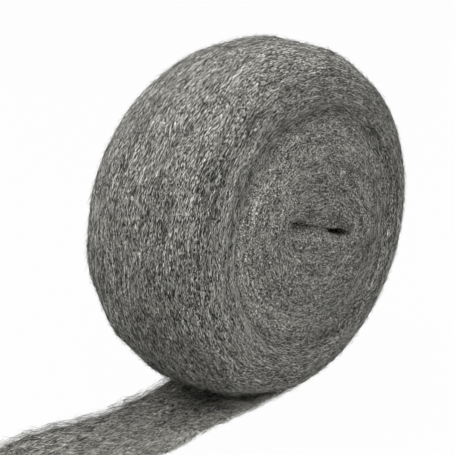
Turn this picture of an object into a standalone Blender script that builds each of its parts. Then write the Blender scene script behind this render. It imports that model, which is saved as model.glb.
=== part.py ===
"""A roll of steel wool that stands on its rim, with its loose end on the floor.

The roll is one long ribbon. It is modelled straight first, as a soft bar with
rounded long edges, and then wound: every point of the bar has a turn, a place
across the width and a place through the thickness, and wind() gives its place
in the roll. The roll has no core, so its middle has closed to a flat slot.

Frame: metres, +Z up. The roll's axis lies along Y, its front end faces -Y and
the loose end runs out along -X. The origin is on the floor, in the middle of
the flat that the roll's weight presses into its underside.
"""

from math import cos, pi, radians, sin, sqrt

import bmesh
import bpy

NAME = "steel_wool_roll"

# The roll as a whole
ROLL_HEIGHT = 0.216
ROLL_LENGTH = 0.234
ROLL_WIDTH = 0.100
SAG = 0.003

# The closed middle
SLOT_LENGTH = 0.060
SLOT_HEIGHT = 0.004
SLOT_TILT = radians(-19)
SLOT_OFFSET = 0.004

# The winding
TURNS = 14
OUTER_TURN = 0.004
TURN_GAP = 0.0010
INNER_END = 0.4
INNER_SQUEEZE = 1.35

# The soft shoulders, from the band along the middle of the rim down to the end faces
RIM_BAND = 0.012
SHOULDER_DROP = 0.038
CROWN_GROWTH = 4
EDGE_NOSE = 0.003
EDGE_WANDER = 0.0010
WANDER_PER_TURN = 1.38

# The soft lumps of the outer turn
LUMP_HEIGHT = 0.0011
LUMPS_AROUND = 8.6
LUMP_SPREAD = 1.37
LUMP_WIDTH = 0.052
LUMP_FADE = 0.1

# The dished end faces: a ring-shaped hollow with a steep outer wall, and a dip at the hub
DISH_DEPTH = 0.0055
DISH_RADIUS = 0.072
DISH_OUTER_WALL = 0.013
DISH_INNER_WALL = 0.034
HUB_DIP = 0.003
HUB_DIP_RADIUS = 0.026

# The loose end
TAIL_LENGTH = 0.215
TAIL_WIDTH = 0.062
TAIL_THICKNESS = 0.004
TAIL_END_THICKNESS = 0.002
TAIL_TAPER = 0.030
TAIL_BLEND = 0.060
TAIL_WAVE = 0.0015
TAIL_WAVE_LENGTH = 0.110
TAIL_SKEW = 0.005
TAIL_BEND = 0.014
TAIL_BEND_START = 0.095
TAIL_BEND_LENGTH = 0.070

# How finely the ribbon is divided, and how finely the outline is searched
STATIONS_PER_TURN = 28
TAIL_STATIONS = 14
ACROSS_POINTS = 5
NOSE_POINTS = 2
HALVINGS = 20
SHARP_EDGE = radians(60)

# What the dimensions above give
SLOT_HALF_LENGTH = SLOT_LENGTH / 2
SLOT_HALF_HEIGHT = SLOT_HEIGHT / 2


def smooth(value):
    """Rises from 0 at 0 to 1 at 1 without a corner."""
    value = min(max(value, 0.0), 1.0)
    return value * value * (3 - 2 * value)


def face_hollow(radius):
    """How deep the end face lies under its rim at a distance from the hub."""
    wall = DISH_OUTER_WALL if radius > DISH_RADIUS else DISH_INNER_WALL
    dish = DISH_DEPTH * (1 - smooth(abs(radius - DISH_RADIUS) / wall))
    return dish + HUB_DIP * (1 - smooth(radius / HUB_DIP_RADIUS))


def outline_fall(reach):
    """How far below the rim the roll's outline lies at a distance from the middle of its width."""
    outward = min(max(reach - RIM_BAND / 2, 0.0) / ((ROLL_WIDTH - RIM_BAND) / 2), 1.0)
    return SHOULDER_DROP * (1 - sqrt(1 - outward * outward))


def ribbon_fall(reach):
    """How far below its own middle the outer turn lies at a distance from it.

    The turn's edge meets the roll's outline. The turns inside it curve the
    same way and stop further out, so their edges step down the shoulder.
    """
    outward = max(reach - RIM_BAND / 2, 0.0) / ((TAIL_WIDTH - RIM_BAND) / 2)
    return outline_fall(TAIL_WIDTH / 2) * outward * outward


def outer_half_height():
    """The half-height of the oval that the last turn would reach all the way round.

    The roll's height is that half below the middle, less the sag, and the
    oval half a turn earlier above it, less the gap that is left there.
    """
    return (ROLL_HEIGHT + SAG + (OUTER_TURN + TURN_GAP) / 2) / 2


def wound_level(turn):
    """The level that the winding has reached at a turn: 0 at the slot and 1 outside.

    Each turn is thinner than the one inside it by the same step.
    """
    radius = OUTER_HALF_HEIGHT - SLOT_HALF_HEIGHT
    inner_turn = 2 * radius / TURNS - OUTER_TURN
    return (inner_turn * turn - (inner_turn - OUTER_TURN) * turn**2 / (2 * TURNS)) / radius


def outer_half_length():
    """The half-length of the same oval: the roll's sides lie a quarter and three quarters of a turn back."""
    right = wound_level(TURNS - 0.25) ** INNER_SQUEEZE
    left = wound_level(TURNS - 0.75) ** INNER_SQUEEZE
    return SLOT_HALF_LENGTH + (ROLL_LENGTH - SLOT_LENGTH) / (right + left)


OUTER_HALF_HEIGHT = outer_half_height()
OUTER_HALF_LENGTH = outer_half_length()
MIDDLE_HEIGHT = OUTER_HALF_HEIGHT - SAG
GAP_LEVEL = TURN_GAP / (OUTER_HALF_HEIGHT - SLOT_HALF_HEIGHT)
WOUND_STATIONS = round((TURNS - INNER_END) * STATIONS_PER_TURN)
FIRST_TURN = TURNS - WOUND_STATIONS / STATIONS_PER_TURN


def oval(level):
    """The half-length and half-height of the nested oval at a level."""
    half_length = SLOT_HALF_LENGTH + (OUTER_HALF_LENGTH - SLOT_HALF_LENGTH) * level**INNER_SQUEEZE
    half_height = SLOT_HALF_HEIGHT + (OUTER_HALF_HEIGHT - SLOT_HALF_HEIGHT) * level
    return half_length, half_height


def levels(turn):
    """The levels of the ribbon's inner and outer surface at a turn."""
    below = turn - 1
    inner = wound_level(below) if below > FIRST_TURN - 0.5 / STATIONS_PER_TURN else 0.0
    covered = min(TURNS - turn, 1.0)
    return inner, wound_level(turn) - GAP_LEVEL * covered


def edge_reach(turn, side):
    """How far from the middle of the width the ribbon's edge reaches, on the side -1 or 1.

    The edge lies where the turn's surface meets the roll's outline, found by
    halving, or on the end face. The faces are dished, and the edges wander.
    """
    level = levels(turn)[1]
    half_height = oval(level)[1]
    near, far = TAIL_WIDTH / 2, ROLL_WIDTH / 2
    for _ in range(HALVINGS):
        reach = (near + far) / 2
        if OUTER_HALF_HEIGHT - outline_fall(reach) > half_height - ribbon_fall(reach) * level**CROWN_GROWTH:
            near = reach
        else:
            far = reach
    radius = half_height - ribbon_fall(far) * level**CROWN_GROWTH
    wander = EDGE_WANDER * sin(2 * pi * WANDER_PER_TURN * turn + side)
    return far - face_hollow(radius) + wander


def across_width(across, reach):
    """The place across the width for a share of it: 0 to 1 is the body, 1 to 2 the rounded edge.

    Up to a half the place is the same for all turns, which keeps them nested.
    """
    side = 1 if across > 0 else -1
    middle = min(2 * abs(across), 1.0) * TAIL_WIDTH / 4
    outward = min(max(2 * abs(across) - 1, 0.0), 1.0) * (reach - EDGE_NOSE - TAIL_WIDTH / 4)
    return side * (middle + outward + EDGE_NOSE * max(abs(across) - 1, 0.0))


def lump(turn, y):
    """How far the soft outer face stands over the last turn's oval, from two slanting waves."""
    share = TURNS - turn
    around, across = 2 * pi * LUMPS_AROUND * share, 2 * pi * y / LUMP_WIDTH
    waves = (sin(around + across) + sin(LUMP_SPREAD * around - across)) / 2
    return LUMP_HEIGHT * waves * smooth(share / LUMP_FADE) * smooth((1 - share) / LUMP_FADE)


def wind(turn, across, through):
    """The place in the roll of a point of the ribbon.

    The angle runs clockwise as seen from the front, from the bottom, and the
    weight of the roll presses what would lie below the floor up into it.
    """
    inner, outer = levels(turn)
    level = inner + (outer - inner) * (0.5 + through)
    half_length, half_height = oval(level)
    y = across_width(across, edge_reach(turn, 1 if across > 0 else -1))
    pushed_out = lump(turn, y) * (0.5 + through)
    drawn_in = 1 + (pushed_out - ribbon_fall(abs(y)) * level**CROWN_GROWTH) / half_height
    angle = -pi / 2 + 2 * pi * (TURNS - turn)
    along = half_length * drawn_in * cos(angle)
    up = half_height * drawn_in * sin(angle)
    tilt = SLOT_TILT * (1 - level)
    x = SLOT_OFFSET * (1 - level) + along * cos(tilt) - up * sin(tilt)
    z = MIDDLE_HEIGHT + along * sin(tilt) + up * cos(tilt)
    return x, y, z + pressed_up(x, y, z)


def pressed_up(x, y, z):
    """How far the floor lifts a point: all the way at the underside, and less the higher it is."""
    drawn_in = 1 - ribbon_fall(abs(y)) / OUTER_HALF_HEIGHT
    share = min(abs(x) / (OUTER_HALF_LENGTH * drawn_in), 1.0)
    underside = MIDDLE_HEIGHT - OUTER_HALF_HEIGHT * drawn_in * sqrt(1 - share * share)
    below_floor = max(-underside, 0.0)
    return below_floor * (1 - smooth((z - underside) / (MIDDLE_HEIGHT / 2)))


def unroll(distance, across, through):
    """The place on the floor of a point of the loose end, at a distance from where it leaves."""
    start_x, start_y, start_z = wind(TURNS, across, through)
    settled = smooth(distance / TAIL_BLEND)
    to_end = smooth((TAIL_LENGTH - distance) / TAIL_TAPER)
    thickness = TAIL_END_THICKNESS + (TAIL_THICKNESS - TAIL_END_THICKNESS) * to_end
    wave = sin(2 * pi * distance / TAIL_WAVE_LENGTH)
    lift = TAIL_WAVE * smooth(2 * abs(across) - 1) * (1 + wave * (1 if across > 0 else -1)) / 2
    bend = TAIL_BEND * smooth((distance - TAIL_BEND_START) / TAIL_BEND_LENGTH)
    y = across_width(across, TAIL_WIDTH / 2) + TAIL_SKEW + bend
    z = thickness * (0.5 - through) + lift
    return start_x - distance, start_y + (y - start_y) * settled, start_z + (z - start_z) * settled


def section_outline():
    """The bar's section, as (across, through) pairs: flat faces and rounded edges."""
    flat = [2 * i / (ACROSS_POINTS - 1) - 1 for i in range(ACROSS_POINTS)]
    step = pi / (NOSE_POINTS + 1)
    nose = [(1 + sin(step * i), 0.5 * cos(step * i)) for i in range(1, NOSE_POINTS + 1)]
    top = [(across, 0.5) for across in flat] + nose
    return top + [(-across, -through) for across, through in top]


def straight_bar():
    """The ribbon before it is wound: x counts turns, y is across and z is through.

    The loose end is one unit long there, whatever its real length.
    """
    bar = bmesh.new()
    outline = [bar.verts.new((FIRST_TURN, across, through)) for across, through in section_outline()]
    start = bar.faces.new(outline)
    end = [start, *start.edges, *start.verts]
    for step, count in ((1 / STATIONS_PER_TURN, WOUND_STATIONS), (1 / TAIL_STATIONS, TAIL_STATIONS)):
        swept = bmesh.ops.spin(bar, geom=end, dvec=(step, 0, 0), angle=0, steps=count)
        end = swept["geom_last"]
    bmesh.ops.recalc_face_normals(bar, faces=bar.faces)
    return bar


def wound_ribbon():
    """The bar wound into the roll, with its loose end laid on the floor."""
    ribbon = straight_bar()
    for point in ribbon.verts:
        turn, across, through = point.co
        if turn > TURNS:
            point.co = unroll((turn - TURNS) * TAIL_LENGTH, across, through)
        else:
            point.co = wind(turn, across, through)
    return ribbon


def steel_wool():
    """Bright steel fibre, grey in the mass."""
    material = bpy.data.materials.new("steel_wool")
    material.use_nodes = True
    shader = material.node_tree.nodes["Principled BSDF"]
    shader.inputs["Base Color"].default_value = (0.19, 0.187, 0.178, 1)
    shader.inputs["Metallic"].default_value = 0.7
    shader.inputs["Roughness"].default_value = 0.55
    return material


def main():
    for thing in list(bpy.data.objects):
        bpy.data.objects.remove(thing)
    collection = bpy.data.collections.new(NAME)
    bpy.context.scene.collection.children.link(collection)

    ribbon = wound_ribbon()
    mesh = bpy.data.meshes.new(NAME)
    ribbon.to_mesh(mesh)
    ribbon.free()
    mesh.materials.append(steel_wool())
    mesh.shade_smooth()
    mesh.set_sharp_from_angle(angle=SHARP_EDGE)
    collection.objects.link(bpy.data.objects.new(NAME, mesh))


main()
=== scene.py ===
"""The looks of a roll of steel wool that stands on its rim.

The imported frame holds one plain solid, a ribbon wound round a closed slot. Here
it is dressed as wool: a soft body that keeps the solid's form, with the edges of
its turns as ridges, and thousands of loose steel fibres laid along the winding.

Frame: metres, +Z up. The roll's axis lies along Y, its front end faces -Y and
the loose end runs out along -X. The origin is on the floor, under the roll.
"""

from __future__ import annotations

import logging
from dataclasses import dataclass, field
from enum import Enum
from math import cos, pi, radians, sin

import bmesh
import bpy
import numpy as np
from mathutils import Matrix, Vector, noise

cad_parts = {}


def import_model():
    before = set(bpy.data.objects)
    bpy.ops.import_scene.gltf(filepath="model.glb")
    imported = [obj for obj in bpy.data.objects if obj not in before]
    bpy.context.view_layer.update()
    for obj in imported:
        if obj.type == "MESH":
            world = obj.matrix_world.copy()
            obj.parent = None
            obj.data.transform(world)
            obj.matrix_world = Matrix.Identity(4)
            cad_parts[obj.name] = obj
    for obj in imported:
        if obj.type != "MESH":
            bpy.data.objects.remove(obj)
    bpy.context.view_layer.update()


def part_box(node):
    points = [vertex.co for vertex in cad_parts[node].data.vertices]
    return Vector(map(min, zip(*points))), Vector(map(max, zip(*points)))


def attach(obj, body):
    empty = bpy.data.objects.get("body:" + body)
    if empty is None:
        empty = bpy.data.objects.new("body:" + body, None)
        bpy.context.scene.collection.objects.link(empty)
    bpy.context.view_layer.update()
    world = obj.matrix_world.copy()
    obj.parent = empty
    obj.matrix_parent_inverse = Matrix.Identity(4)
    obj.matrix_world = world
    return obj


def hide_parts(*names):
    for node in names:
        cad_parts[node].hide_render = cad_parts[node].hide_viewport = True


Array = np.ndarray
Socket = bpy.types.NodeSocket

log = logging.getLogger("steel_wool_roll")

NODE = "steel_wool_roll"
BODY = "root"
ROLL_LENGTH = 0.234
ROLL_WIDTH = 0.100
TURN = 2 * pi
TINY = 1e-12
PATTERN_STEP = 17.3
WHITE = (1, 1, 1, 1)


class Grain(Enum):
    """The direction of a skin's grid that the fibres follow."""

    AROUND = "around"
    ALONG = "along"


def smooth(value: Array | float) -> Array | float:
    """Rise from 0 at 0 to 1 at 1 without a corner."""
    value = np.clip(value, 0.0, 1.0)
    return value * value * (3 - 2 * value)


def stacked(*values: Array | float) -> Array:
    """Spread values to one shape and join them along a new last axis."""
    return np.stack(np.broadcast_arrays(*values), axis=-1)


def placed(name: str, data: bpy.types.ID) -> bpy.types.Object:
    """Put an object made of the data into the scene."""
    made = bpy.data.objects.new(name, data)
    bpy.context.scene.collection.objects.link(made)
    return made


def ripples(points: Array, seed: int) -> Array:
    """Sample smooth noise, from about -1 to 1, at points in units of its wavelength.

    The seed moves the pattern, so that two calls differ.
    """
    flat = points.reshape(-1, 3) + PATTERN_STEP * seed
    values = [noise.noise(place) for place in flat.tolist()]
    return np.array(values).reshape(points.shape[:-1])


@dataclass
class Skin:
    """A closed surface as a grid of places: rings from one end to the other.

    Attributes:
        places: The grid's places, of shape (rings, around, 3).
        grain: The grid direction of the wool's fibres.
        wool: A coordinate for the finish at each place: depth, width and angle.
        shade: How bright the wool is at each place, from 0 to 1, of shape (rings, around), with painted
            light and shade in it as well as the wool's own tone.
        face: 1 on an end face, where the fibres lie every way, and 0 where they follow the grain.
    """

    places: Array
    grain: Grain
    wool: Array
    shade: Array
    face: Array

    def steps(self) -> tuple[Array, Array]:
        """Return the vector from each place to the next ring, and to the next place around."""
        next_ring = np.gradient(self.places, axis=0)
        around = (np.roll(self.places, -1, axis=1) - np.roll(self.places, 1, axis=1)) / 2
        return next_ring, around

    def normals(self) -> Array:
        """Return the unit normals of the grid, pointing out."""
        next_ring, around = self.steps()
        normal = np.cross(around, next_ring)
        normal /= np.linalg.norm(normal, axis=2, keepdims=True) + TINY
        middle = len(self.places) // 2
        inside = self.places[middle].mean(axis=0)
        outward = ((self.places[middle] - inside) * normal[middle]).sum()
        return normal if outward > 0 else -normal

    def at(self, values: Array, ring: Array, around: Array) -> Array:
        """Read values of the grid, of shape (rings, around, n), between its places.

        The numbers of the ring and of the place around are fractions, and the second one wraps.
        """
        rings, count = values.shape[:2]
        just_under_last = rings - 1.001
        ring = np.clip(ring, 0, just_under_last)
        row, column = np.floor(ring).astype(int), np.floor(around).astype(int)
        down, across = (ring - row)[..., None], (around - column)[..., None]
        left, right = column % count, (column + 1) % count
        upper = values[row, left] * (1 - across) + values[row, right] * across
        lower = values[row + 1, left] * (1 - across) + values[row + 1, right] * across
        return upper * (1 - down) + lower * down

    def mesh(self, name: str) -> bpy.types.Object:
        """Build the skin as a closed mesh: a capped bar, its rings moved to their places.

        The wool coordinate, the shade and the face share become attributes of the mesh.
        """
        rings, count = self.places.shape[:2]
        bar = bmesh.new()
        bmesh.ops.create_circle(bar, cap_ends=True, segments=count, radius=1.0)
        first = bar.faces[:] + bar.edges[:] + bar.verts[:]
        bmesh.ops.spin(bar, geom=first, dvec=(0, 0, 1), angle=0, steps=rings - 1)
        row = np.array([round(point.co.z) for point in bar.verts])
        turned = np.array([np.arctan2(point.co.y, point.co.x) for point in bar.verts])
        column = np.round(turned / TURN * count).astype(int) % count
        for point, place in zip(bar.verts, self.places[row, column].tolist()):
            point.co = place
        bmesh.ops.recalc_face_normals(bar, faces=bar.faces)
        mesh = bpy.data.meshes.new(name)
        bar.to_mesh(mesh)
        bar.free()
        wool = mesh.attributes.new("wool", "FLOAT_VECTOR", "POINT")
        wool.data.foreach_set("vector", self.wool[row, column].astype(np.float32).ravel())
        for use, values in (("shade", self.shade), ("face", self.face)):
            attribute = mesh.attributes.new(use, "FLOAT", "POINT")
            attribute.data.foreach_set("value", values[row, column].astype(np.float32))
        mesh.shade_smooth()
        return placed(name, mesh)


@dataclass
class Winding:
    """The oval spiral that the ribbon is wound in, as the frame's solid has it.

    Attributes:
        height, length, width: The roll's size along Z, X and Y.
        sag: How much of the oval the floor presses flat.
        slot_*: The closed slot at the hub, its tilt and its place.
        turns, outer_turn, turn_gap: The number of turns, the outer one's thickness, and the gap.
        inner_squeeze: How much narrower than evenly spaced the inner ovals are.
        rim_band, shoulder_drop: The rim's level middle, and the fall of the shoulders.
        crown_growth: How quickly the turns' crown grows towards the rim.
        tail_width: The width of the ribbon's outer turn.
        dish_*, hub_dip, hub_dip_radius: The ring-shaped dish of an end face, and the dip inside.
        lump_*, lumps_around: The outer turn's soft lumps.
    """

    height: float
    length: float
    width: float
    sag: float = 0.003
    slot_length: float = 0.060
    slot_height: float = 0.004
    slot_tilt: float = radians(-19)
    slot_offset: float = 0.004
    turns: int = 14
    outer_turn: float = 0.004
    turn_gap: float = 0.001
    inner_squeeze: float = 1.35
    rim_band: float = 0.012
    shoulder_drop: float = 0.038
    crown_growth: int = 4
    tail_width: float = 0.062
    dish_depth: float = 0.0055
    dish_radius: float = 0.072
    dish_outer_wall: float = 0.013
    dish_inner_wall: float = 0.034
    hub_dip: float = 0.003
    hub_dip_radius: float = 0.026
    lump_height: float = 0.0011
    lumps_around: float = 8.6
    lump_spread: float = 1.37
    lump_width: float = 0.052
    lump_fade: float = 0.1
    half_height: float = field(init=False)
    half_length: float = field(init=False)

    def __post_init__(self) -> None:
        """Work out the half-height and half-length of the outermost oval."""
        self.half_height = (self.height + self.sag + (self.outer_turn + self.turn_gap) / 2) / 2
        right = self.level(self.turns - 0.25) ** self.inner_squeeze
        left = self.level(self.turns - 0.75) ** self.inner_squeeze
        self.half_length = self.slot_length / 2 + (self.length - self.slot_length) / (right + left)

    @property
    def radius(self) -> float:
        """The height of all turns together, above the slot."""
        return self.half_height - self.slot_height / 2

    @property
    def inner_turn(self) -> float:
        """The thickness of the innermost turn."""
        return 2 * self.radius / self.turns - self.outer_turn

    @property
    def middle_height(self) -> float:
        """The height of the roll's axis over the floor."""
        return self.half_height - self.sag

    @property
    def face_edge(self) -> float:
        """The radius at which the end face meets the shoulder."""
        return self.half_height - self.shoulder_drop

    def level(self, turn: Array | float) -> Array | float:
        """Return how far out a turn lies: 0 at the slot and 1 outside."""
        thinning = (self.inner_turn - self.outer_turn) / (2 * self.turns)
        return (self.inner_turn * turn - thinning * turn**2) / self.radius

    def turn(self, level: Array) -> Array:
        """Return the turn at a level, the other way round from level()."""
        thinning = (self.inner_turn - self.outer_turn) / self.turns
        under = self.inner_turn**2 - 2 * thinning * self.radius * level
        return (self.inner_turn - np.sqrt(np.maximum(under, 0))) / thinning

    def outline_fall(self, reach: Array) -> Array:
        """Return how far below the rim the outline lies, at a distance from mid width."""
        outward = np.clip((reach - self.rim_band / 2) / ((self.width - self.rim_band) / 2), 0, 1)
        return self.shoulder_drop * (1 - np.sqrt(1 - outward**2))

    def ribbon_fall(self, reach: Array) -> Array:
        """Return how far below its own middle the outer turn lies."""
        outward = np.maximum(reach - self.rim_band / 2, 0) / ((self.tail_width - self.rim_band) / 2)
        return self.outline_fall(self.tail_width / 2) * outward**2

    def face_hollow(self, radius: Array) -> Array:
        """Return how deep the end face lies under its rim at a distance from the hub."""
        wall = np.where(radius > self.dish_radius, self.dish_outer_wall, self.dish_inner_wall)
        dish = self.dish_depth * (1 - smooth(np.abs(radius - self.dish_radius) / wall))
        return dish + self.hub_dip * (1 - smooth(radius / self.hub_dip_radius))

    def lump(self, share: Array, y: Array) -> Array:
        """Return how far the outer turn's soft face stands over its oval."""
        around, across = TURN * self.lumps_around * share, TURN * y / self.lump_width
        waves = (np.sin(around + across) + np.sin(self.lump_spread * around - across)) / 2
        ends = smooth(share / self.lump_fade) * smooth((1 - share) / self.lump_fade)
        return self.lump_height * waves * ends

    def nested_level(self, up: Array, fall: Array) -> Array:
        """Find the level whose oval, drawn in by the crown's fall, has the half-height up."""
        level = (up - self.slot_height / 2) / self.radius
        for _ in range(6):
            crown = fall * level**self.crown_growth
            error = self.slot_height / 2 + self.radius * level - crown - up
            slope = self.radius - self.crown_growth * fall * level ** (self.crown_growth - 1)
            level = np.clip(level - error / slope, 0, 1)
        return level

    def place(self, level: Array, angle: Array, y: Array, fall: Array,
              kept: Array) -> Array:
        """Return the places of points of the roll, with x, y and z in the last axis.

        The level is how far out a point lies, from 0 to 1, and the angle runs from +X towards +Z.
        The fall is the crown's, and kept is the share of its height that the oval keeps, less
        than 1 where the slot closes.
        """
        slot = self.slot_length / 2
        half_length = slot + (self.half_length - slot) * level**self.inner_squeeze
        half_height = self.slot_height / 2 + self.radius * level
        drawn_in = 1 - fall * level**self.crown_growth / half_height
        along, up = half_length * drawn_in * np.cos(angle), half_height * drawn_in * np.sin(angle) * kept
        tilt = self.slot_tilt * (1 - level)
        x = self.slot_offset * (1 - level) + along * np.cos(tilt) - up * np.sin(tilt)
        z = self.middle_height + along * np.sin(tilt) + up * np.cos(tilt)
        return stacked(x, y, z + self.pressed_up(x, y, z))

    def pressed_up(self, x: Array, y: Array, z: Array) -> Array:
        """Return how far the floor lifts each point."""
        drawn_in = 1 - self.ribbon_fall(np.abs(y)) / self.half_height
        share = np.clip(np.abs(x) / (self.half_length * drawn_in), 0, 1)
        underside = self.middle_height - self.half_height * drawn_in * np.sqrt(1 - share**2)
        below_floor = np.maximum(-underside, 0)
        return below_floor * (1 - smooth((z - underside) / (self.middle_height / 2)))


@dataclass(frozen=True)
class PaintedLightRing:
    """A ring of the roll's end where painted light makes the wool brighter.

    Attributes:
        radius, width: Where it is brightest, and how far from there it fades.
        shade: How much brighter the painted light makes it there.
        all_round, left, top: The share of that painted light all round, at the left and at the top.
    """

    radius: float
    width: float
    shade: float
    all_round: float = 0.0
    left: float = 0.0
    top: float = 0.0

    def at(self, radius: Array, angle: Array) -> Array:
        """Return how much brighter the painted light makes the wool at a radius and an angle."""
        side = np.maximum(self.left * -np.cos(angle), self.top * np.sin(angle))
        near = np.exp(-(((radius - self.radius) / self.width) ** 2))
        return self.shade * np.maximum(self.all_round, side) * near


@dataclass(frozen=True)
class Bands:
    """Bands along the winding in which the wool is brighter and darker by turns.

    Attributes:
        per_turn, width: The bands to each turn on an end face, and a band's width on the rim.
        around: How often a band changes round the roll.
        shade: How much brighter or darker it is.
        seed: Moves their pattern.
    """

    per_turn: float
    width: float
    around: float
    shade: float
    seed: int

    def at(self, wound: Array, share: Array, reach: Array, side: int) -> Array:
        """Return how much brighter the wool is, so many turns out and so far round."""
        across = self.per_turn * wound + reach / self.width
        circle = self.around * np.cos(TURN * share), self.around * np.sin(TURN * share)
        return self.shade * ripples(stacked(across, *circle), self.seed + side)


@dataclass
class WoundBody:
    """The roll's soft body: the winding's outer form with its turns' edges as ridges.

    Attributes:
        winding: The spiral that it follows.
        around, ring_gap, band_rings: The places round the roll, and the rings over it.
        ridge, ridge_sharpness, edge_step: A turn's edge over its groove, and where it starts.
        apart, apart_*: How far apart the turns stand, and how that changes from turn to turn.
        face_matted, matted_from, matted_over: How much of a groove the end face keeps, and where.
        top_matted: The share of a groove that is matted shut at the top and underneath.
        pit_*, lip_radius: The pits in the slot's ends, and the closed lips between them.
        mouth_*: The pits' mouths: how far out they reach, how far they sink, and the painted shade that
            darkens them.
        seam_share: The share of the outer turn over which it closes on itself.
        dent, dent_length, streak, streak_*: The dents of loose wool and the winding's streaks.
        sink, settled: How far the body lies under the fibres, and how much further at the top.
        middle_shade, groove_painted_shade, least_shade: The wool's usual brightness, the painted shade
        that darkens the grooves between turns, and the least.
        top_painted_shade, top_radius, top_width: The painted shade that darkens the top of the shoulder,
            and the radius and width over which it comes in.
        crease_*: The painted shade in the crease along the slot, and the width it spreads over.
        face_blend: The width over which the shoulder's grain becomes the end face's.
        painted_light_rings, bands: Rings of painted light on the roll's end, and bands along the winding
            where the wool's own tone is brighter and darker.
    """

    winding: Winding
    around: int = 280
    ring_gap: float = 0.0013
    band_rings: int = 3
    ridge: float = 0.0017
    ridge_sharpness: float = 0.6
    edge_step: float = 0.0015
    apart: float = 0.65
    apart_swing: float = 0.55
    apart_step: float = 2.3
    apart_unevenness: float = 0.5
    apart_range: tuple[float, float] = (0.1, 1.6)
    apart_outward: float = 3.4
    apart_around: float = 1.7
    face_matted: float = 0.40
    matted_from: float = 0.55
    matted_over: float = 0.2
    top_matted: float = 0.65
    pit_depth: float = 0.016
    pit_rings: int = 7
    pit_floor: float = 0.35
    pit_middle: float = 0.25
    pit_start: float = 0.40
    pit_rise: float = 0.40
    lip_radius: float = 0.012
    mouth_radius: float = 0.008
    mouth_depth: float = 0.0015
    mouth_painted_shade: float = 0.17
    seam_share: float = 0.035
    dent: float = 0.0002
    dent_length: float = 0.016
    streak: float = 0.0003
    streak_length: float = 0.004
    streak_around: float = 1.6
    sink: float = 0.0008
    settled: float = 0.0012
    middle_shade: float = 0.5
    groove_painted_shade: float = 0.25
    least_shade: float = 0.05
    top_painted_shade: float = 0.08
    top_radius: float = 0.063
    top_width: float = 0.011
    crease_painted_shade: float = 0.12
    crease_width: float = 0.004
    face_blend: float = 0.016
    # Painted light, as if lit from the upper left: the shoulder's edge at the left, the dish's wall at
    # the left and top, a ring round the dish, and the left of the inner face.
    painted_light_rings: tuple[PaintedLightRing, ...] = (
        PaintedLightRing(radius=0.097, width=0.007, shade=0.17, left=1.0),
        PaintedLightRing(radius=0.078, width=0.006, shade=0.24, left=1.0, top=0.7),
        PaintedLightRing(radius=0.063, width=0.011, shade=0.09, all_round=1.0),
        PaintedLightRing(radius=0.055, width=0.025, shade=0.10, left=1.0),
    )
    bands: tuple[Bands, ...] = (
        Bands(per_turn=1.2, width=0.007, around=0.9, shade=0.09, seed=31),
        Bands(per_turn=2.6, width=0.003, around=1.5, shade=0.10, seed=35),
    )

    def profile(self) -> tuple[Array, Array, Array]:
        """Return the front half's profile, from the pit's floor to the middle of the rim.

        Returns:
            Each ring's reach from mid width, its height below the rim, and its depth in the pit.
        """
        w = self.winding
        band = np.linspace(0, w.rim_band / 2, self.band_rings + 1)[:-1]
        arc = pi / 2 * (w.shoulder_drop + (w.width - w.rim_band) / 2) / 2
        bend = np.linspace(0, pi / 2, round(arc / self.ring_gap))
        shoulder = w.rim_band / 2 + (w.width - w.rim_band) / 2 * np.sin(bend)
        inward = np.linspace(w.face_edge, w.slot_height / 2, round(w.face_edge / self.ring_gap))[1:]
        pit = np.linspace(0, self.pit_depth, self.pit_rings + 1)[1:]
        reach = np.concatenate([band, shoulder, np.full(len(inward) + len(pit), w.width / 2)])
        fall = np.concatenate([w.outline_fall(np.append(band, shoulder)), w.half_height - inward])
        fall = np.append(fall, np.full(len(pit), fall[-1]))
        depth = np.concatenate([np.zeros(len(reach) - len(pit)), pit])
        return reach[::-1], fall[::-1], depth[::-1]

    def half(self, side: int) -> Skin:
        """Work out the front half (side -1) or the back half (side 1), from the pit's floor outwards."""
        w = self.winding
        reach, fall, depth = (values[:, None] for values in self.profile())
        share = np.arange(self.around)[None, :] / self.around
        angle = -pi / 2 + TURN * share
        crown, outline = w.ribbon_fall(reach), w.half_height - fall
        ribbon = self.outer_ribbon(share, reach, side)
        level = w.nested_level(np.minimum(ribbon, outline), crown)
        radius = w.slot_height / 2 + w.radius * level

        ends = smooth((np.abs(np.cos(angle)) - self.pit_start) / self.pit_rise)
        mouth = ends * (1 - smooth((radius - w.slot_height / 2) / self.mouth_radius))
        on_face = smooth((reach - w.tail_width / 2) / (w.width / 2 - w.tail_width / 2))
        sunk = depth * (self.pit_middle + (1 - self.pit_middle) * ends) + self.mouth_depth * mouth
        y = side * (reach - w.face_hollow(radius) * on_face - sunk)
        lips = 1 - (1 - self.pit_middle) * (1 - ends) * (1 - smooth(radius / self.lip_radius))
        kept = lips * (1 - (1 - self.pit_floor) * smooth(depth / self.pit_depth))
        places = w.place(level, angle, y, crown, kept)

        wool = stacked(radius, y, angle)
        outside_pit = depth == 0
        beyond_edge = smooth((ribbon - outline) / self.edge_step) * outside_pit
        groove = self.grooves(level, share, side) * beyond_edge
        shade = self.painted_light_and_shade(radius, angle, beyond_edge, outside_pit)
        shade = shade + sum(bands.at(w.turn(level) + share, share, reach, side) for bands in self.bands)
        # Painted shade: darker in the grooves between turns and in the pits' mouths at the slot's ends.
        shade = shade - self.groove_painted_shade * groove - self.mouth_painted_shade * mouth
        face = smooth((w.face_edge - radius) / self.face_blend + 0.5)
        skin = Skin(places, Grain.AROUND, wool, np.clip(shade, self.least_shade, 1), face)

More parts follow.
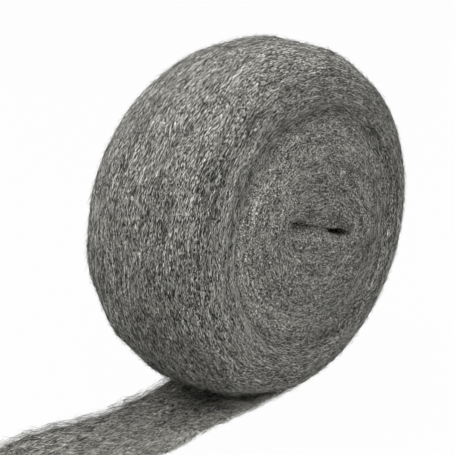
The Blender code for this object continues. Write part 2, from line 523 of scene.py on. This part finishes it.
        raised = self.unevenness(places, wool, side) * outside_pit - self.ridge * groove
        sunk_top = self.sink + self.settled * np.maximum(np.sin(angle), 0) ** 2
        hub = np.array([w.slot_offset, 0, w.middle_height])
        outward = np.sign(((places[-1] - hub) * skin.normals()[-1]).sum())
        skin.places = places + outward * skin.normals() * (raised - sunk_top)[..., None]
        skin.places[..., 2] = np.maximum(skin.places[..., 2], 0)
        return skin

    def outer_ribbon(self, share: Array, reach: Array, side: int) -> Array:
        """Return the half-height of the outer turn's face, which closes on itself at its seam."""
        w = self.winding
        seam = smooth((share - 1 + self.seam_share) / self.seam_share)
        outer = w.level(w.turns - share) + seam * (1 - w.level(w.turns - 1))
        drawn_in = w.ribbon_fall(reach) * outer**w.crown_growth
        return w.slot_height / 2 + w.radius * outer - drawn_in + w.lump(share, side * reach)

    def painted_light_and_shade(self, radius: Array, angle: Array, beyond_edge: Array,
                    outside_pit: Array) -> Array:
        """Return how bright the wool is on the roll's end, with painted light in its bright rings and
        painted shade on the shoulder's top and in the slot's crease.
        """
        # Painted light of the bright rings.
        bright = sum(ring.at(radius, angle) for ring in self.painted_light_rings)
        # Painted shade: the top of the shoulder darker, where it faces away from the lamps.
        outer = smooth((radius - self.top_radius) / self.top_width) * beyond_edge
        top = self.top_painted_shade * outer * np.maximum(np.sin(angle), 0)
        # Painted shade in the crease along the slot.
        crease = 1 - smooth((radius - self.winding.slot_height / 2) / self.crease_width)
        return self.middle_shade + (bright - top - self.crease_painted_shade * crease) * outside_pit

    def grooves(self, level: Array, share: Array, side: int) -> Array:
        """Return how deep the groove between two turns is: 0 at a turn's edge, about 1 beside it.

        Some turns stand apart from their neighbours more than others, all the way round.
        """
        w = self.winding
        wound = w.turn(level) - (w.turns - share)
        nearest = w.turns - share + np.round(wound)
        apart = self.apart + self.apart_swing * np.sin(self.apart_step * nearest + side)
        circle = self.apart_around * np.cos(TURN * share), self.apart_around * np.sin(TURN * share)
        uneven = ripples(stacked(self.apart_outward * level, *circle), seed=3 + side)
        apart = np.clip(apart + self.apart_unevenness * uneven, *self.apart_range)
        outward = smooth((level - self.matted_from) / self.matted_over)
        matted = self.face_matted + (1 - self.face_matted) * outward
        pressed = 1 - self.top_matted * np.cos(TURN * share) ** 2
        return apart * matted * pressed * (1 - np.sin(pi * (wound % 1.0)) ** self.ridge_sharpness)

    def unevenness(self, places: Array, wool: Array, side: int) -> Array:
        """Return the soft dents of loose wool, and the streaks that the winding leaves."""
        dents = ripples(places / self.dent_length, seed=11 + side)
        scale = np.array([1 / self.streak_length, 1 / self.streak_length, self.streak_around])
        return self.dent * dents + self.streak * ripples(wool * scale, seed=21 + side)

    def skin(self) -> Skin:
        """Join the halves into one skin, from the front pit's floor to the back one's."""
        front, back = self.half(-1), self.half(1)
        front.places[-1] = (front.places[-1] + back.places[-1]) / 2

        def joined(use: str) -> Array:
            return np.concatenate([getattr(front, use), getattr(back, use)[-2::-1]])

        return Skin(joined("places"), Grain.AROUND, joined("wool"), joined("shade"), joined("face"))


@dataclass
class LooseEnd:
    """The ribbon's loose end on the floor, as a thin closed strip.

    Attributes:
        winding: The roll that it leaves.
        end_x, start_x: Where it ends, and where it starts, inside the roll's underside.
        width, thickness, end_thickness, thinning: Its section, and how it thins out.
        side_power, top_power: How square its section is: 1 is an ellipse, less is squarer.
        wave, wave_*: The rise and fall of its edges, and how far in they reach.
        skew, bend, bend_*: Its drift and its bend sideways.
        blend: The length over which it settles on the floor.
        rings, around: The grid's places.
        fray, fray_length: The ragged line of its edges.
        puff, puff_*: The thick and thin spots of the wool.
        shade, streak_shade, least_shade: How bright it is, how much its streaks change that, and the
            least.
        front_painted_light, back_painted_shade, near_roll_painted_light: Painted light along its front
        edge, painted shade along its back edge, and painted light near the roll, where the roll shades
        the strip.
        streak_width, streak_along: The size of its bright and dark streaks.
    """

    winding: Winding
    end_x: float
    start_x: float = 0.004
    width: float = 0.060
    thickness: float = 0.0036
    end_thickness: float = 0.0014
    thinning: float = 0.03
    side_power: float = 0.75
    top_power: float = 0.8
    wave: float = 0.0015
    wave_length: float = 0.110
    wave_from: float = 0.5
    skew: float = 0.005
    bend: float = 0.014
    bend_start: float = 0.095
    bend_length: float = 0.070
    blend: float = 0.060
    rings: int = 190
    around: int = 96
    fray: float = 0.0026
    fray_length: float = 0.006
    puff: float = 0.25
    puff_length: float = 0.012
    puff_across: float = 3.0
    shade: float = 0.62
    streak_shade: float = 0.12
    front_painted_light: float = 0.20
    back_painted_shade: float = -0.06
    near_roll_painted_light: float = 0.04
    least_shade: float = 0.05
    streak_width: float = 0.006
    streak_along: float = 2.2

    def skin(self) -> Skin:
        """Work out the strip's places, wool coordinates and shade."""
        w = self.winding
        x = np.linspace(self.start_x, self.end_x, self.rings)[:, None]
        distance = np.maximum(-x, 0)
        turn = TURN * np.arange(self.around)[None, :] / self.around
        across, through = np.cos(turn), np.sin(turn)
        side = np.sign(across) * np.abs(across) ** self.side_power
        settled = smooth(distance / self.blend)

        fray = self.fray * ripples(stacked(x / self.fray_length, side, 0), seed=5)
        drift = self.skew + self.bend * smooth((distance - self.bend_start) / self.bend_length)
        y = (self.width / 2 + fray) * side + drift * settled

        spots = stacked(x / self.puff_length, self.puff_across * side, 0)
        puff = 1 + self.puff * ripples(spots, seed=8)
        whole = smooth((-self.end_x - distance) / self.thinning)
        thick = self.end_thickness + (self.thickness - self.end_thickness) * whole
        z = thick * (0.5 + 0.5 * np.sign(through) * np.abs(through) ** self.top_power * puff)
        wave = 1 + np.sin(TURN * distance / self.wave_length) * np.sign(side)
        lift = self.wave * smooth((np.abs(side) - self.wave_from) / (1 - self.wave_from)) * wave / 2
        crowned = np.maximum(w.ribbon_fall(np.abs(y)) - w.sag, 0)
        z = z + crowned * (1 - settled) + lift * settled

        wool = stacked(z, y, x / w.half_height)
        scale = np.array([0, 1 / self.streak_width, self.streak_along])
        streaks = ripples(wool * scale, seed=41)
        # Painted light on the front edge and near the roll, where the roll shades the strip, and painted
        # shade on the back edge; the streaks are the wool's own tone.
        shade = self.shade + self.streak_shade * streaks + self.near_roll_painted_light * (1 - settled)
        shade = shade + self.front_painted_light * smooth(-side) + self.back_painted_shade * smooth(side)
        shade = np.clip(shade, self.least_shade, 1)
        return Skin(stacked(x, y, np.maximum(z, 0)), Grain.ALONG, wool, shade, 0 * shade)


@dataclass
class Fibres:
    """Loose steel fibres laid on a skin, each one a thin three-sided strand.

    Attributes:
        name, count: The piece's name, and the number of strands.
        length, thickness: Their means; the *_range fields are the least and most of that.
        tip: A tip's thickness, as a share of the strand's.
        heading_spread: How far they stray from the grain, as an angle.
        crossing: The share that lies in any direction.
        bend: How much they curve, in radians to a metre.
        lift, lift_power: The highest that one lies over the skin, and how rare that is.
        flying, fly: The share with an end that stands off the skin, and how far it does.
        fly_reach, fly_scale: How far past its middle a strand starts to stand off, and its full rise.
        strand_glint, ring_glint: How much brightness differs between strands and along one, partly the
            fibres' own tone and partly painted glints.
        segments: The straight pieces in a strand.
        seed: The start of the random draws.
    """

    name: str
    count: int
    length: float = 0.0075
    length_range: tuple[float, float] = (0.55, 1.45)
    thickness: float = 0.00019
    thickness_range: tuple[float, float] = (0.6, 1.4)
    tip: float = 0.35
    heading_spread: float = radians(9)
    crossing: float = 0.10
    bend: float = 60.0
    lift: float = 0.0006
    lift_power: float = 1.5
    flying: float = 0.5
    fly: float = 0.0023
    fly_reach: float = 0.15
    fly_scale: float = 0.42
    strand_glint: float = 0.28
    ring_glint: float = 0.36
    segments: int = 2
    seed: int = 1

    def bundle(self) -> bmesh.types.BMesh:
        """Make straight strands: z counts a strand's rings, x and y are its section."""
        strands = bmesh.new()
        bmesh.ops.create_circle(strands, cap_ends=True, segments=3, radius=1.0)
        first = strands.faces[:] + strands.edges[:] + strands.verts[:]
        bmesh.ops.spin(strands, geom=first, dvec=(0, 0, 1), angle=0, steps=self.segments)
        bmesh.ops.recalc_face_normals(strands, faces=strands.faces)
        parts = [len(strands.verts), len(strands.edges), len(strands.faces)]
        made = 1
        while made < self.count:
            more = min(made, self.count - made)
            some = strands.verts[: more * parts[0]] + strands.edges[: more * parts[1]]
            some += strands.faces[: more * parts[2]]
            bmesh.ops.duplicate(strands, geom=some)
            made += more
        return strands

    def lay(self, skin: Skin, density: Array) -> bpy.types.Object:
        """Lay the strands on a skin, as thickly in each cell of its grid as the density says."""
        rng = np.random.default_rng(self.seed)
        next_ring, next_around = skin.steps()
        ring_size = np.linalg.norm(next_ring, axis=2, keepdims=True)
        around_size = np.linalg.norm(next_around, axis=2, keepdims=True)
        area = ring_size[..., 0] * around_size[..., 0] * density
        chance = np.cumsum(area.ravel())
        cell = np.searchsorted(chance, rng.random(self.count) * chance[-1])
        ring = cell // skin.places.shape[1] + rng.random(self.count) - 0.5
        around = cell % skin.places.shape[1] + rng.random(self.count) - 0.5
        heading = rng.normal(0, self.heading_spread, self.count)
        crossing = rng.random(self.count) < self.crossing
        heading = np.where(crossing, rng.uniform(-pi / 2, pi / 2, self.count), heading)
        length = self.length * rng.uniform(*self.length_range, self.count)
        bend = rng.normal(0, self.bend, self.count)
        step = np.linspace(-0.5, 0.5, self.segments + 1)[None, :] * length[:, None]
        way = heading[:, None] + bend[:, None] * step / 2
        with_grain, over_grain = step * np.cos(way), step * np.sin(way)
        grain_around = skin.grain is Grain.AROUND
        go_around = with_grain if grain_around else over_grain
        go_ring = over_grain if grain_around else with_grain
        rings = ring[:, None] + go_ring / skin.at(ring_size, ring, around)
        arounds = around[:, None] + go_around / skin.at(around_size, ring, around)
        lie = skin.at(skin.places, rings, arounds)
        normal = skin.at(skin.normals(), rings, arounds)
        normal /= np.linalg.norm(normal, axis=2, keepdims=True)
        lift = self.lift * rng.random(self.count) ** self.lift_power
        flies = rng.random(self.count) < self.flying
        end = np.where(rng.random(self.count) < 0.5, -1, 1)[:, None] * step / length[:, None]
        rise = np.maximum(end + self.fly_reach, 0) ** 2 / self.fly_scale
        off = self.fly * rng.random(self.count)[:, None] * flies[:, None] * rise
        lie = lie + normal * (lift[:, None] + off)[..., None]
        # Each strand takes the skin's shade where it lies, painted light and shade included.
        return self.build(lie, normal, rng, skin.at(skin.shade[..., None], rings, arounds)[..., 0])

    def build(self, lie: Array, normal: Array, rng: np.random.Generator,
              shade: Array) -> bpy.types.Object:
        """Put each strand's rings where it lies, given the skin's normal and the wool's shade there."""
        strands = self.bundle()
        mesh = bpy.data.meshes.new(self.name)
        strands.to_mesh(mesh)
        strands.free()
        straight = np.empty(len(mesh.vertices) * 3, np.float32)
        mesh.vertices.foreach_get("co", straight)
        straight = straight.reshape(self.count, -1, 3)
        ring = np.round(straight[..., 2]).astype(int)
        ahead = np.gradient(lie, axis=1)
        ahead /= np.linalg.norm(ahead, axis=2, keepdims=True) + TINY
        beside = np.cross(normal, ahead)
        taper = np.ones(self.segments + 1)
        taper[[0, -1]] = self.tip
        thick = self.thickness / 2 * rng.uniform(*self.thickness_range, self.count)[:, None] * taper
        roll = rng.uniform(0, TURN, self.count)[:, None]
        which = np.arange(self.count)[:, None]
        x, y = straight[..., 0], straight[..., 1]
        turned_x = x * np.cos(roll) - y * np.sin(roll)
        turned_y = x * np.sin(roll) + y * np.cos(roll)
        size = thick[which, ring]
        places = lie[which, ring] + normal[which, ring] * (size * turned_x)[..., None]
        places += beside[which, ring] * (size * turned_y)[..., None]
        places[..., 2] = np.maximum(places[..., 2], 0)
        mesh.vertices.foreach_set("co", places.astype(np.float32).ravel())
        # Brightness that differs between strands and from ring to ring along each: partly the fibres' own
        # tone, partly painted glints in place of the highlights steel fibres catch.
        glint = rng.normal(0, self.strand_glint, (self.count, 1))
        glint = glint + rng.normal(0, self.ring_glint, shade.shape)
        bright = np.clip(shade + glint, 0, 1)[which, ring]
        shades = mesh.attributes.new("shade", "FLOAT", "POINT")
        shades.data.foreach_set("value", bright.astype(np.float32).ravel())
        corner = np.round(np.arctan2(y, x) / TURN * 3)
        self.map_by_shade(mesh, bright, corner, ring, rng.random((self.count, 1)))
        mesh.update()
        mesh.shade_smooth()
        return placed(self.name, mesh)

    def map_by_shade(self, mesh: bpy.types.Mesh, bright: Array, corner: Array, ring: Array,
                     chance: Array) -> None:
        """Lay the strands on a UV map on which equal brightness lies at equal places across."""
        margin, spread, corner_step = 0.02, 0.95, 0.006
        bottom, height, ring_step = 0.03, 0.9, 0.008
        across = margin + spread * bright + corner_step * corner
        along = ring_step * ring + bottom + height * chance
        places = np.stack([across.ravel(), along.ravel()], axis=1)
        point = np.empty(len(mesh.loops), np.int32)
        mesh.loops.foreach_get("vertex_index", point)
        layer = mesh.uv_layers.new(name="OFBake")
        layer.uv.foreach_set("vector", places[point].astype(np.float32).ravel())


class Nodes:
    """Adds and links the nodes of a material or of the world."""

    TINT = (1.0, 0.985, 0.91)

    def __init__(self, owner: bpy.types.Material | bpy.types.World) -> None:
        """Switch on the owner's nodes."""
        owner.use_nodes = True
        self.owner = owner
        self.tree = owner.node_tree

    def fill(self, node: bpy.types.Node, inputs: dict[str | int, object]) -> None:
        """Give a node's inputs their values, or link them to other nodes' sockets."""
        for name, value in inputs.items():
            if isinstance(value, Socket):
                self.tree.links.new(value, node.inputs[name])
            else:
                node.inputs[name].default_value = value

    def add(self, kind: str, inputs: dict[str | int, object], **settings: object) -> bpy.types.Node:
        """Add a node, set its properties and fill its inputs."""
        node = self.tree.nodes.new(kind)
        for name, value in settings.items():
            setattr(node, name, value)
        self.fill(node, inputs)
        return node

    def attribute(self, name: str, output: str = "Fac") -> Socket:
        """Read an attribute of the mesh."""
        return self.add("ShaderNodeAttribute", {}, attribute_name=name).outputs[output]

    def math(self, operation: str, first: Socket, second: Socket | float) -> Socket:
        """Work out one value from two."""
        return self.add("ShaderNodeMath", {0: first, 1: second}, operation=operation).outputs["Value"]

    def scaled(self, source: Socket, scale: tuple[float, float, float]) -> Socket:
        """Multiply a vector by a scale for each axis."""
        node = self.add("ShaderNodeVectorMath", {0: source, 1: scale}, operation="MULTIPLY")
        return node.outputs["Vector"]

    def ramp(self, source: Socket, stops: tuple[tuple[float, float], ...]) -> Socket:
        """Turn a value into a slightly warm grey by stops of (place, brightness)."""
        node = self.add("ShaderNodeValToRGB", {"Fac": source})
        elements = node.color_ramp.elements
        while len(elements) < len(stops):
            elements.new(0.5)
        for element, (place, bright) in zip(elements, stops):
            element.position = place
            element.color = (*(bright * tint for tint in self.TINT), 1)
        return node.outputs["Color"]


@dataclass(frozen=True)
class FeltFinish:
    """The matted wool of the body: fine dark and bright specks, drawn out along the winding.

    Attributes:
        stops: The greys of the specks, as (chance, brightness).
        speck, draw: A speck's width on the rim, and the specks to a radian along the winding.
        face_speck: A speck's size on the end faces.
        streak, streak_draw: A streak's width, and the streaks to a radian along the winding.
        streak_noise, streak_bright: The noise of a dark and a bright streak, and their brightness.
        bump: The height of the specks.
        metallic, roughness: The surface of the fibres in the mass.
    """

    stops: tuple[tuple[float, float], ...] = ((0.4, 0.004), (0.62, 0.11), (0.86, 0.95))
    speck: float = 0.00017
    draw: float = 55.0
    face_speck: float = 0.00042
    streak: float = 0.0012
    streak_draw: float = 3.5
    streak_noise: tuple[float, float] = (0.3, 0.7)
    streak_bright: tuple[float, float] = (1.2, 2.8)
    bump: float = 0.0002
    metallic: float = 0.2
    roughness: float = 0.7

    def material(self) -> bpy.types.Material:
        """Build the material from the wool coordinate."""
        nodes = Nodes(bpy.data.materials.new("matted_wool"))
        wool = nodes.attribute("wool", "Vector")
        place = nodes.add("ShaderNodeTexCoord", {}).outputs["Object"]
        grained = self.specks(nodes, nodes.scaled(wool, (1 / self.speck, 1 / self.speck, self.draw)), 1.0)
        crossed = self.specks(nodes, place, 1 / self.face_speck)
        mixed = {"Factor": nodes.attribute("face"), "A": grained, "B": crossed}
        chance = nodes.add("ShaderNodeMix", mixed, data_type="FLOAT").outputs["Result"]
        # The shade attribute holds the wool's own tone together with painted light and shade.
        bright = nodes.math("MULTIPLY", nodes.attribute("shade"), self.streaks(nodes, wool))
        grey = {0: nodes.ramp(chance, self.stops), "Scale": bright}
        shaded = nodes.add("ShaderNodeVectorMath", grey, operation="SCALE").outputs["Vector"]
        dents = nodes.add("ShaderNodeBump", {"Strength": 1.0, "Distance": self.bump, "Height": chance})
        surface = {"Base Color": shaded, "Normal": dents.outputs["Normal"],
                   "Metallic": self.metallic, "Roughness": self.roughness}
        nodes.fill(nodes.tree.nodes["Principled BSDF"], surface)
        return nodes.owner

    def specks(self, nodes: Nodes, at: Socket, scale: float) -> Socket:
        """Return a random value for each small cell of the wool."""
        cells = nodes.add("ShaderNodeTexVoronoi", {"Scale": scale, "Vector": at}).outputs["Color"]
        return nodes.add("ShaderNodeSeparateColor", {"Color": cells}).outputs["Red"]

    def streaks(self, nodes: Nodes, wool: Socket) -> Socket:
        """Return the brightness of the streaks along the winding."""
        drawn = nodes.scaled(wool, (1 / self.streak, 1 / self.streak, self.streak_draw))
        noisy = nodes.add("ShaderNodeTexNoise", {"Scale": 1.0, "Detail": 1.0, "Vector": drawn})
        ends = zip(("From Min", "From Max", "To Min", "To Max"), self.streak_noise + self.streak_bright)
        level = nodes.add("ShaderNodeMapRange", {**dict(ends), "Value": noisy.outputs["Fac"]})
        return level.outputs["Result"]


@dataclass(frozen=True)
class FibreFinish:
    """Bright drawn steel, each fibre with its own brightness, painted glints included.

    Attributes:
        stops: The greys of the fibres, as (shade, brightness).
        metallic, roughness: The surface of a fibre.
    """

    stops: tuple[tuple[float, float], ...] = ((0.0, 0.004), (0.5, 0.09), (1.0, 1.0))
    metallic: float = 0.35
    roughness: float = 0.42

    def material(self) -> bpy.types.Material:
        """Build the material from the shade of each fibre."""
        nodes = Nodes(bpy.data.materials.new("steel_fibre"))
        grey = nodes.ramp(nodes.attribute("shade"), self.stops)
        surface = {"Base Color": grey, "Metallic": self.metallic, "Roughness": self.roughness}
        nodes.fill(nodes.tree.nodes["Principled BSDF"], surface)
        return nodes.owner


@dataclass
class WoolRoll:
    """The whole roll: body, loose end and fibres.

    Attributes:
        winding: The spiral that it is wound in.
        tail_end: Where the loose end stops, along X.
        face_blend, hub_clear, hub_blend: Where the end faces' fibres start, and stop at the hub.
        pit_inset, pit_radius: What counts as inside a pit, where no fibres lie.
        tail_clear: The height over the floor above which the loose end is covered.
        wisps_from, wisps_over: Where the wisps start across the loose end, and how quickly.
    """

    winding: Winding
    tail_end: float
    face_blend: float = 0.008
    hub_clear: float = 0.002
    hub_blend: float = 0.006
    pit_inset: float = 0.010
    pit_radius: float = 0.004
    tail_clear: float = 0.0006
    wisps_from: float = 0.84
    wisps_over: float = 0.1
    felt: bpy.types.Material = field(init=False)
    steel: bpy.types.Material = field(init=False)

    def __post_init__(self) -> None:
        """Make the two finishes."""
        self.felt = FeltFinish().material()
        self.steel = FibreFinish().material()

    def dress(self, piece: bpy.types.Object, material: bpy.types.Material) -> bpy.types.Object:
        """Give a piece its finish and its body."""
        piece.data.materials.append(material)
        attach(piece, BODY)
        log.info("%s: %d faces", piece.name, len(piece.data.polygons))
        return piece

    def build(self) -> None:
        """Build every piece."""
        body = WoundBody(self.winding).skin()
        roll = self.dress(body.mesh("wound_roll"), self.felt)
        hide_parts(NODE)
        tail = LooseEnd(self.winding, self.tail_end).skin()
        self.dress(tail.mesh("loose_end"), self.felt)
        self.cover_roll(body)
        self.cover_tail(tail)

    def cover_roll(self, skin: Skin) -> None:
        """Lay the fibres of the rim, the shoulders and the two end faces."""
        y = skin.places[..., 1]
        radius = skin.wool[..., 0]
        face = smooth((self.winding.face_edge - radius) / self.face_blend + 0.5)
        in_pit = (np.abs(y) < self.winding.width / 2 - self.pit_inset) & (radius < self.pit_radius)
        clear = smooth((radius - self.hub_clear) / self.hub_blend)
        for side, name in ((-1, "front"), (1, "back")):
            here = (np.sign(y) == side) & ~in_pit
            rim = Fibres(f"{name}_rim_fibres", 13600, seed=3 + side)
            self.dress(rim.lay(skin, here * (1 - face)), self.steel)
            end = Fibres(f"{name}_face_fibres", 8200, length=0.0055, heading_spread=radians(16),
                         crossing=0.2, seed=7 + side)
            self.dress(end.lay(skin, here * face * clear), self.steel)

    def cover_tail(self, skin: Skin) -> None:
        """Lay the fibres of the loose end, thick on top and wispy along its edges."""
        across = np.cos(TURN * np.arange(skin.places.shape[1]) / skin.places.shape[1])
        top = (skin.places[..., 2] > self.tail_clear) & (skin.places[..., 0] < 0.0)
        back = smooth((across - self.wisps_from) / self.wisps_over) * top
        front = smooth((-across - self.wisps_from) / self.wisps_over) * top
        laid = Fibres("tail_fibres", 9000, heading_spread=radians(30), crossing=0.2, seed=21)
        self.dress(laid.lay(skin, 1.0 * top), self.steel)
        loose = Fibres("back_wisps", 2400, length=0.011, heading_spread=radians(16), crossing=0.1,
                       lift=0.0045, flying=0.5, fly=0.003, thickness=0.00018, seed=22)
        self.dress(loose.lay(skin, back), self.steel)
        ragged = Fibres("front_wisps", 1600, length=0.009, heading_spread=radians(35), crossing=0.2,
                        lift=0.002, flying=0.8, fly=0.003, thickness=0.00018, seed=23)
        self.dress(ragged.lay(skin, front), self.steel)


@dataclass
class Studio:
    """A pale floor, soft light from the upper left, and the camera.

    Attributes:
        target: The middle of the roll, which the camera's fit is measured from.
        unit: Half the roll's height, which the fit counts in.
        azimuth: The camera's angle round the roll; 0 looks along +Y.
        elevation: The camera's angle over the floor.
        distance: The camera's distance from the target, in units.
        scale: Picture points to a unit at the target.
        target_point: Where the target lies in the picture.
        picture: The picture's width and height.
        sensor: The camera's sensor width, in millimetres.
        floor_size, floor_grey, floor_roughness, floor_shine: The floor's size and its surface.
        floor_white: The share of the floor that is seen as white.
        glow: The strength of the light from all round.
        lamp_size: The side of a lamp's square.
        lamps: Each lamp's name, its place to the right, up and back of the roll, and its watts.
    """

    target: Vector
    unit: float = 0.108
    azimuth: float = radians(-51.75)
    elevation: float = radians(17.67)
    distance: float = 8.0
    scale: float = 178.3
    target_point: tuple[float, float] = (255.2, 216.2)
    picture: float = 455.0
    sensor: float = 36.0
    floor_size: float = 6.0
    floor_grey: float = 0.4
    floor_roughness: float = 0.9
    floor_shine: float = 0.1
    floor_white: float = 0.98
    glow: float = 0.08
    lamp_size: float = 0.8
    lamps: tuple[tuple[str, tuple[float, float, float], float], ...] = (
        ("top", (0.0, 1.6, 0.1), 11.0),
        ("key", (-1.1, 1.1, 0.3), 9.0),
        ("front", (0.0, 0.85, 1.4), 11.5),
        ("side", (1.4, 0.4, 0.7), 5.5),
    )

    def axes(self) -> tuple[Vector, Vector, Vector]:
        """Return the camera's right, up and backward directions."""
        a, e = self.azimuth, self.elevation
        back = Vector((sin(a) * cos(e), -cos(a) * cos(e), sin(e)))
        right = Vector((cos(a), sin(a), 0))
        return right, back.cross(right), back

    def camera(self) -> None:
        """Set up the camera at the photograph's angle."""
        right, up, back = self.axes()
        data = bpy.data.cameras.new("camera")
        data.sensor_width = self.sensor
        data.lens = self.scale * self.distance / self.picture * self.sensor
        data.shift_x = -(self.target_point[0] - self.picture / 2) / self.picture
        data.shift_y = (self.target_point[1] - self.picture / 2) / self.picture
        camera = placed("camera", data)
        turned = Matrix((right, up, back)).transposed().to_4x4()
        camera.matrix_world = Matrix.Translation(self.target + back * self.distance * self.unit) @ turned
        bpy.context.scene.camera = camera

    def hang(self, name: str, way: tuple[float, float, float], watts: float) -> None:
        """Hang a square lamp and turn it to the roll."""
        place = self.target + sum((axis * part for axis, part in zip(self.axes(), way)), Vector())
        data = bpy.data.lights.new(name, "AREA")
        data.energy = watts
        data.size = self.lamp_size
        turned = (place - self.target).to_track_quat("Z", "Y").to_matrix().to_4x4()
        placed(name, data).matrix_world = Matrix.Translation(place) @ turned

    def seen_white(self, nodes: Nodes, plain: Socket, kind: str, share: float) -> Socket:
        """Mix the shader that lights the roll with white for what camera and shiny steel see directly.

        The kind is that of the node that makes the white, and the share is the white's.
        """
        path = nodes.add("ShaderNodeLightPath", {})
        direct = path.outputs["Is Camera Ray"]
        for other in ("Is Glossy Ray", "Is Transmission Ray"):
            direct = nodes.math("MAXIMUM", direct, path.outputs[other])
        part = nodes.math("MULTIPLY", direct, share)
        white = nodes.add(kind, {"Color": WHITE, "Strength": 1.0}).outputs[0]
        return nodes.add("ShaderNodeMixShader", {"Fac": part, 1: plain, 2: white}).outputs[0]

    def floor(self) -> None:
        """Lay a plain pale floor."""
        grid = bmesh.new()
        bmesh.ops.create_grid(grid, x_segments=1, y_segments=1, size=self.floor_size)
        mesh = bpy.data.meshes.new("floor")
        grid.to_mesh(mesh)
        grid.free()
        nodes = Nodes(bpy.data.materials.new("pale_floor"))
        shader = nodes.tree.nodes["Principled BSDF"]
        matt = {"Roughness": self.floor_roughness, "Specular IOR Level": self.floor_shine}
        nodes.fill(shader, {"Base Color": (*(self.floor_grey,) * 3, 1), **matt})
        seen = self.seen_white(nodes, shader.outputs[0], "ShaderNodeEmission", self.floor_white)
        nodes.fill(nodes.tree.nodes["Material Output"], {"Surface": seen})
        mesh.materials.append(nodes.owner)
        placed("floor", mesh)

    def world(self) -> None:
        """Light the roll softly from all round, in front of a white backdrop."""
        world = bpy.data.worlds.new("studio")
        bpy.context.scene.world = world
        nodes = Nodes(world)
        plain = nodes.tree.nodes["Background"]
        nodes.fill(plain, {"Color": WHITE, "Strength": self.glow})
        seen = self.seen_white(nodes, plain.outputs[0], "ShaderNodeBackground", 1.0)
        nodes.fill(nodes.tree.nodes["World Output"], {"Surface": seen})

    def build(self) -> None:
        """Set up the whole studio."""
        self.camera()
        self.world()
        self.floor()
        for lamp in self.lamps:
            self.hang(*lamp)
        bpy.context.scene.view_settings.view_transform = "Standard"


def main() -> None:
    """Build the roll and its studio around the frame."""
    logging.basicConfig(level=logging.INFO)
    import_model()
    low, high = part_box(NODE)
    winding = Winding(height=high.z, length=ROLL_LENGTH, width=ROLL_WIDTH)
    WoolRoll(winding, tail_end=low.x).build()
    Studio(target=Vector((0, 0, Studio.unit))).build()


if __name__ == "__main__":
    main()
